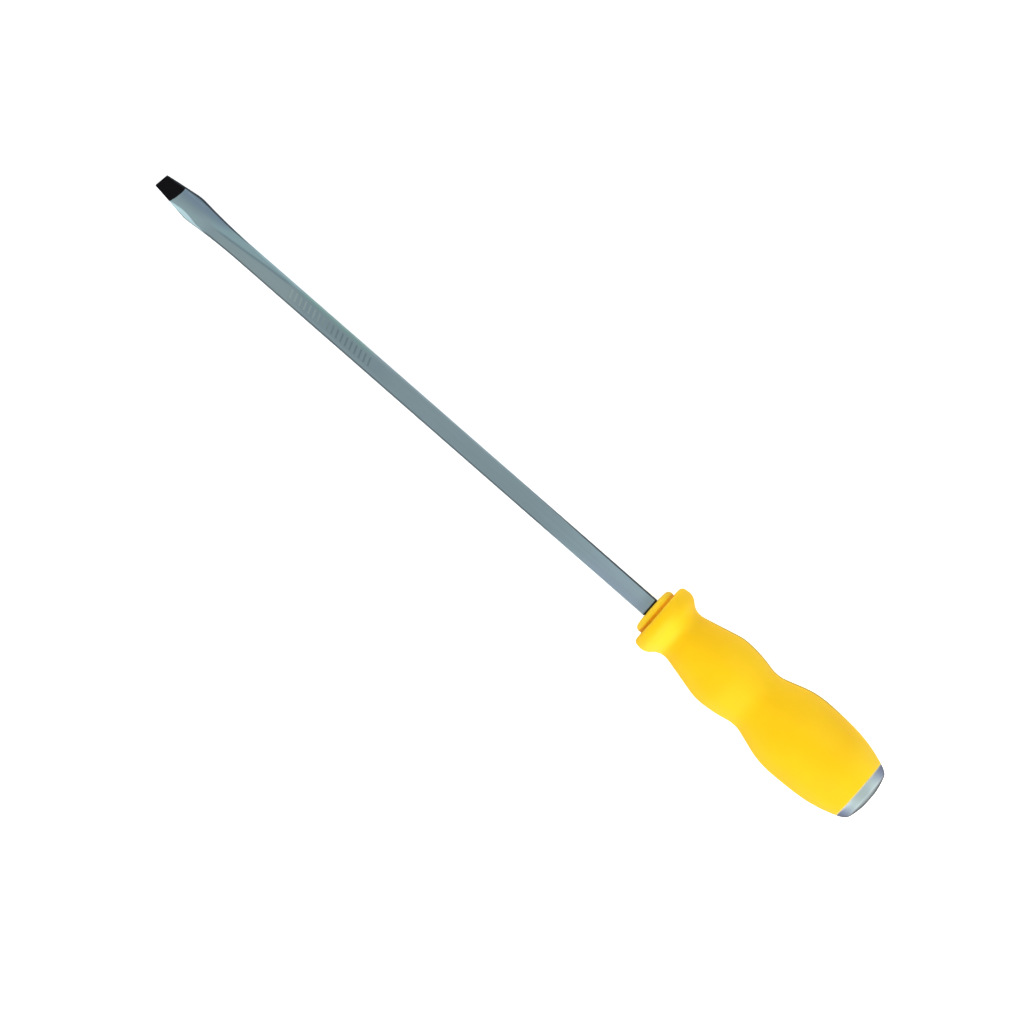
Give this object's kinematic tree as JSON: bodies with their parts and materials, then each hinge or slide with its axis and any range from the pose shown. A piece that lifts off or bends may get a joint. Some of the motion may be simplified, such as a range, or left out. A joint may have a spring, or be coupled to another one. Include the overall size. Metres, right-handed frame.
{
  "type": "flat screwdriver",
  "caption": "Long flat screwdriver: square steel bar with a forged wedge tip, yellow waisted handle with a finger flange, and a domed steel strike cap.",
  "frame": {"origin": "centre of the tip's end face, on the tool's axis", "axes": "+X along the tool from the tip to the strike cap, +Z square to the wide faces of the wedge and one pair of the bar's flats, +Y across the wedge"},
  "size_m": [0.4346, 0.042, 0.042],
  "materials": {
    "bar_steel": "satin plated steel, fine lengthwise grain, black oxide on the last 10 mm of the tip",
    "core_plastic": "satin moulded yellow, one shade deeper than the grip",
    "grip_plastic": "satin moulded yellow with a fine mould texture",
    "cap_steel": "bright turned steel with fine rings"
  },
  "bodies": {
    "root": {"blade": "bar_steel", "handle_core": "core_plastic", "grip_sleeve": "grip_plastic", "strike_cap": "cap_steel"}
  },
  "joints": []
}
